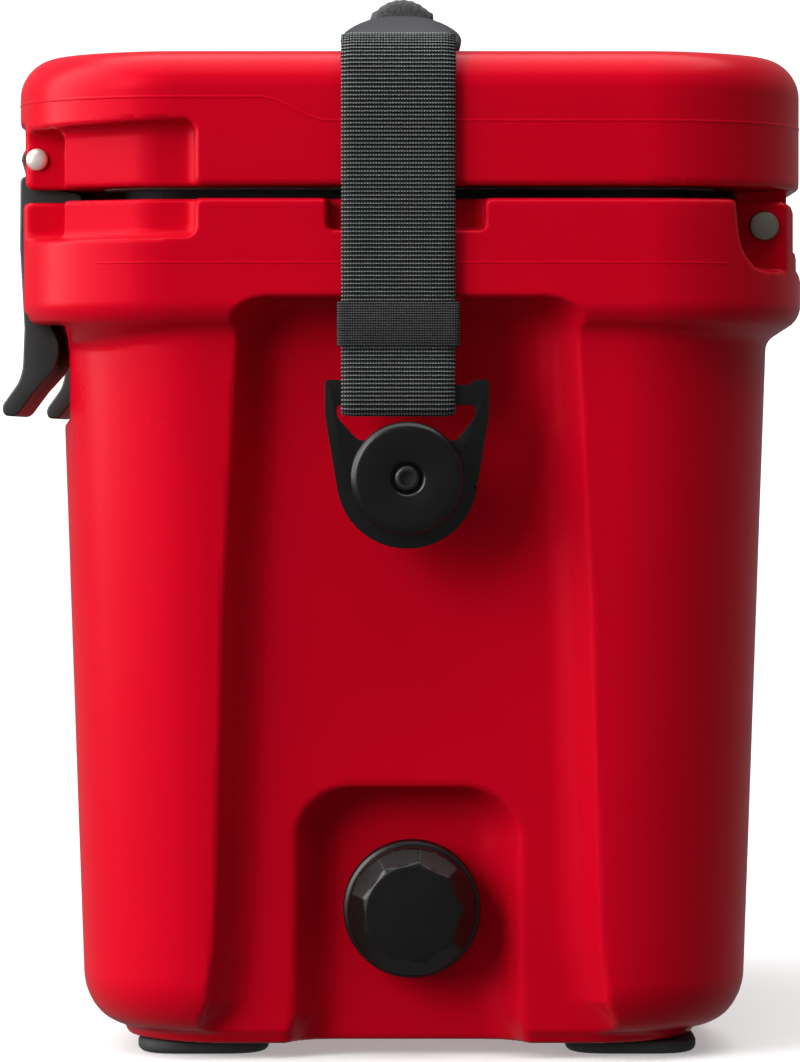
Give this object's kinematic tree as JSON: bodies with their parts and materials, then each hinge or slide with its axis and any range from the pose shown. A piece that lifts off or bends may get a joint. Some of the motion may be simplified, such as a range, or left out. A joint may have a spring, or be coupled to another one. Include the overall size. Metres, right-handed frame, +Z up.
{
  "type": "hard cooler chest",
  "caption": "Hard-sided cooler chest with hinged lid, two front latches, webbing carrying handle and end drain plug.",
  "frame": {"origin": "middle of the bounding box, on the floor under the feet", "axes": "+Z up, +X along the length towards the end with the drain plug, -Y towards the latches"},
  "size_m": [0.4332, 0.3036, 0.409],
  "materials": {
    "red_plastic": "semi-gloss moulded red",
    "foam": "foam",
    "white_plastic": "smooth white",
    "steel": "plain",
    "rubber": "matt",
    "dull_steel": "dull",
    "pin_steel": "satin",
    "brass": "plain",
    "black_steel": "satin black",
    "seal": "matt",
    "band": "smooth",
    "webbing": "ribbed webbing",
    "grip_wrap": "ribbed",
    "core": "plain",
    "shoulder_rubber": "satin",
    "latch_plastic": "satin",
    "black_plastic": "satin"
  },
  "bodies": {
    "chest": {"body_shell": "red_plastic", "body_foam": "foam", "body_liner": "white_plastic", "foot_front_right": "rubber", "foot_front_left": "rubber", "foot_rear_right": "rubber", "foot_rear_left": "rubber", "foot_screw_front_right": "steel", "foot_screw_front_left": "steel", "foot_screw_rear_right": "steel", "foot_screw_rear_left": "steel", "hinge_pin_right": "dull_steel", "hinge_pin_left": "dull_steel", "latch_keeper_right": "steel", "latch_keeper_left": "steel", "keeper_screw_1_right": "steel", "keeper_screw_1_left": "steel", "keeper_screw_2_right": "steel", "keeper_screw_2_left": "steel", "pivot_insert_right": "brass", "pivot_insert_left": "brass", "pivot_bolt_right": "black_steel", "pivot_bolt_left": "black_steel", "pivot_disc_right": "black_plastic", "pivot_disc_left": "black_plastic", "drain_fitting": "black_plastic", "drain_gasket": "seal", "drain_nut": "black_plastic"},
    "drain_seal": {"drain_seal": "seal"},
    "drain_plug": {"drain_plug": "black_plastic"},
    "lid": {"lid_shell": "red_plastic", "lid_foam": "foam", "lid_liner": "white_plastic", "lid_gasket": "seal", "latch_pin_right": "pin_steel", "latch_pin_left": "pin_steel"},
    "latch_right": {"latch_right": "latch_plastic"},
    "latch_left": {"latch_left": "latch_plastic"},
    "handle_bushes": {"pivot_bush_right": "black_plastic", "pivot_bush_left": "black_plastic"},
    "handle": {"bracket_right": "black_plastic", "bracket_left": "black_plastic", "strap_right": "webbing", "strap_left": "webbing", "strap_keeper_right": "band", "strap_keeper_left": "band", "grip_shoulder_right": "shoulder_rubber", "grip_shoulder_left": "shoulder_rubber", "grip_core": "core", "grip_cover": "grip_wrap"}
  },
  "joints": [
    {"name": "lid_hinge", "type": "hinge", "parent": "chest", "child": "lid", "pos_m": [0.146, 0.1358, 0.3135], "axis": [-1, 0, 0], "range_deg": [0, 90]},
    {"name": "latch_right_hinge", "type": "hinge", "parent": "lid", "child": "latch_right", "pos_m": [0.122, -0.1378, 0.3389], "axis": [-1, 0, 0], "range_deg": [0, 110]},
    {"name": "latch_left_hinge", "type": "hinge", "parent": "lid", "child": "latch_left", "pos_m": [-0.122, -0.1378, 0.3389], "axis": [-1, 0, 0], "range_deg": [0, 110]},
    {"name": "handle_follow", "type": "hinge", "parent": "chest", "child": "handle_bushes", "pos_m": [0, 0.0017, 0.2191], "axis": [-1, 0, 0], "range_deg": [0, 109]},
    {"name": "handle_swing", "type": "hinge", "parent": "handle_bushes", "child": "handle", "pos_m": [0, 0.0017, 0.2191], "axis": [-1, 0, 0], "range_deg": [-115, 0], "deforming": ["strap_right", "strap_left", "strap_keeper_right", "strap_keeper_left", "grip_shoulder_right", "grip_shoulder_left", "grip_core", "grip_cover"]},
    {"name": "drain_plug_travel", "type": "slide", "parent": "chest", "child": "drain_seal", "axis": [1, 0, 0], "range_m": [0, 0.0121]},
    {"name": "drain_plug_turn", "type": "hinge", "parent": "drain_seal", "child": "drain_plug", "pos_m": [0.17, 0.0036, 0.0561], "axis": [1, 0, 0], "range_deg": [0, 1080]}
  ],
  "couplings": [
    {"joint": "handle_follow", "follows": "lid_hinge", "ratio": 1.21},
    {"joint": "drain_plug_travel", "follows": "drain_plug_turn", "m_per_rad": 0.000637}
  ]
}
